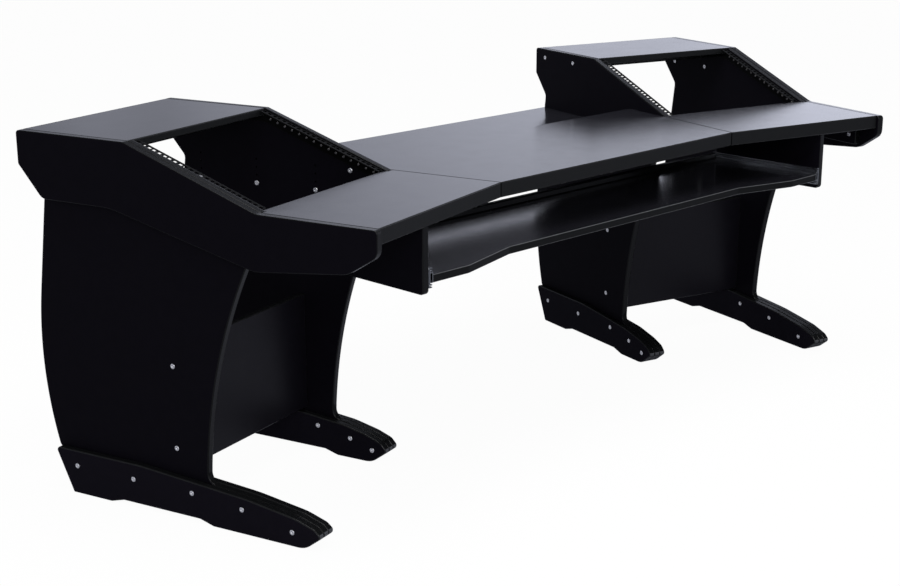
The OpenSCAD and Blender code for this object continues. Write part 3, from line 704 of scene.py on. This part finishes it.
def search_tree(node):
    mesh = node.data
    places = [vert.co for vert in mesh.vertices]
    return BVHTree.FromPolygons(places, [polygon.vertices for polygon in mesh.polygons])


def dress_desk(frame, m):
    bodies = frame["record"]["behaviour"]["bodies"]
    body_of = {name: body for body, names in bodies.items() for name in names}
    for name, node in frame["nodes"].items():
        materials, width, slot = finish_of(name, m)
        if name.endswith("_rail"):
            piece = make_rail(name, body_of[name], materials)
        else:
            mates = [search_tree(frame["nodes"][mate]) for mate in seam_mates(name)]
            piece = dressed(node, body_of[name], materials, width, mates)


# Studio


def wall_level(tree):
    """Brightness of the studio's wall in the direction that a ray leaves the desk."""
    direction = add_node(tree, "ShaderNodeTexCoord").outputs["Generated"]
    axes = add_node(tree, "ShaderNodeSeparateXYZ", {"Vector": direction}).outputs
    angle = arithmetic(tree, "ARCTAN2", axes["X"], axes["Y"])
    turn = arithmetic(tree, "WRAP", angle, 0.0, math.tau)
    share = arithmetic(tree, "DIVIDE", turn, math.tau)
    ramp = add_node(tree, "ShaderNodeValToRGB", {"Fac": share})
    stops = ramp.color_ramp.elements
    while len(stops) < len(WALL):
        stops.new(0.5)
    brightest = max(level for _, level in WALL)
    for stop, (degrees, level) in zip(stops, WALL):
        stop.position = degrees / 360
        stop.color = grey(level / brightest)
    level = arithmetic(tree, "MULTIPLY", ramp.outputs["Color"], brightest)
    fade = spread(tree, axes["Z"], 1.0, WALL_OVERHEAD, *WALL_TOP)
    return arithmetic(tree, "MULTIPLY", level, fade)


def ray_kinds(tree):
    """Sockets that are 1 for rays from the camera, and 1 for rays mirrored by the desk."""
    path = add_node(tree, "ShaderNodeLightPath").outputs
    mirrored = arithmetic(tree, "MAXIMUM", path["Is Glossy Ray"], path["Is Transmission Ray"])
    return path["Is Camera Ray"], mirrored


def studio_colour(tree, mirrored):
    return blend_colours(tree, mirrored, grey(1.0), grey(1.0, STUDIO_TINT))


def world_light():
    """White to the camera. Reflections see a studio whose wall is brightest at the right."""
    world = bpy.data.worlds.new("studio")
    bpy.context.scene.world = world
    world.cycles.sampling_method = "NONE"
    world.use_nodes = True
    tree = world.node_tree
    tree.nodes.clear()
    seen, mirrored = ray_kinds(tree)
    levels = {"Factor": mirrored, "A": SKY_FILL, "B": wall_level(tree)}
    fill = add_node(tree, "ShaderNodeMix", levels).outputs["Result"]
    levels = {"Factor": seen, "A": fill, "B": 1.0}
    strength = add_node(tree, "ShaderNodeMix", levels).outputs["Result"]
    light = {"Color": studio_colour(tree, mirrored), "Strength": strength}
    background = add_node(tree, "ShaderNodeBackground", light)
    output = add_node(tree, "ShaderNodeOutputWorld")
    tree.links.new(background.outputs["Background"], output.inputs["Surface"])


def floor_material():
    """A pale floor that takes a faint shadow and reads as white from the camera."""
    material, tree, shader = new_material("studio_floor")
    shade_by(tree, shader, noise(tree, FLOOR_SCALE, 2.0), FLOOR_SHADES)
    shader.inputs["Roughness"].default_value = FLOOR_ROUGH
    shader.inputs["Specular IOR Level"].default_value = FLOOR_GLOSS
    material.cycles.emission_sampling = "NONE"
    seen, mirrored = ray_kinds(tree)
    in_gloss = arithmetic(tree, "MULTIPLY", mirrored, FLOOR_IN_GLOSS)
    strength = arithmetic(tree, "MAXIMUM", seen, in_gloss)
    light = {"Color": studio_colour(tree, mirrored), "Strength": strength}
    glow = add_node(tree, "ShaderNodeEmission", light)
    to_camera = arithmetic(tree, "MULTIPLY", seen, FLOOR_GLOW)
    share = arithmetic(tree, "MAXIMUM", to_camera, mirrored)
    mix = add_node(tree, "ShaderNodeMixShader", {"Fac": share})
    tree.links.new(shader.outputs["BSDF"], mix.inputs[1])
    tree.links.new(glow.outputs["Emission"], mix.inputs[2])
    output = tree.nodes["Material Output"]
    tree.links.new(mix.outputs["Shader"], output.inputs["Surface"])
    return material


def floor():
    mesh = bpy.data.meshes.new("floor")
    half = FLOOR_HALF
    rim = [(-half, -half, 0.0), (half, -half, 0.0), (half, half, 0.0), (-half, half, 0.0)]
    mesh.from_pydata(rim, [], [(0, 1, 2, 3)])
    mesh.materials.append(floor_material())
    piece = link("floor", mesh)


def softbox(name, place, target, width, height, power):
    light = bpy.data.lights.new(name, "AREA")
    light.shape = "RECTANGLE"
    light.size = width
    light.size_y = height
    light.energy = power
    lamp = link(name, light)
    lamp.location = place
    lamp.rotation_mode = "QUATERNION"
    lamp.rotation_quaternion = (Vector(target) - Vector(place)).to_track_quat("-Z", "Y")


def lamps():
    for settings in SOFTBOXES:
        softbox(*settings)


def camera():
    data = bpy.data.cameras.new("camera")
    data.sensor_fit = "HORIZONTAL"
    data.sensor_width = SENSOR_MM
    data.lens = FOCAL_PX / IMAGE_W * SENSOR_MM
    data.shift_x = (IMAGE_W / 2 - CENTRE_PX[0]) / IMAGE_W
    data.shift_y = (CENTRE_PX[1] - IMAGE_H / 2) / IMAGE_W
    item = link("camera", data)
    item.location = CAMERA_PLACE
    item.rotation_euler = (math.pi / 2 + CAMERA_PITCH, 0.0, CAMERA_YAW)
    bpy.context.scene.camera = item


clear_scene()
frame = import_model()
bpy.context.scene.view_settings.view_transform = "Standard"
camera()
world_light()
lamps()
floor()
dress_desk(frame, make_materials())
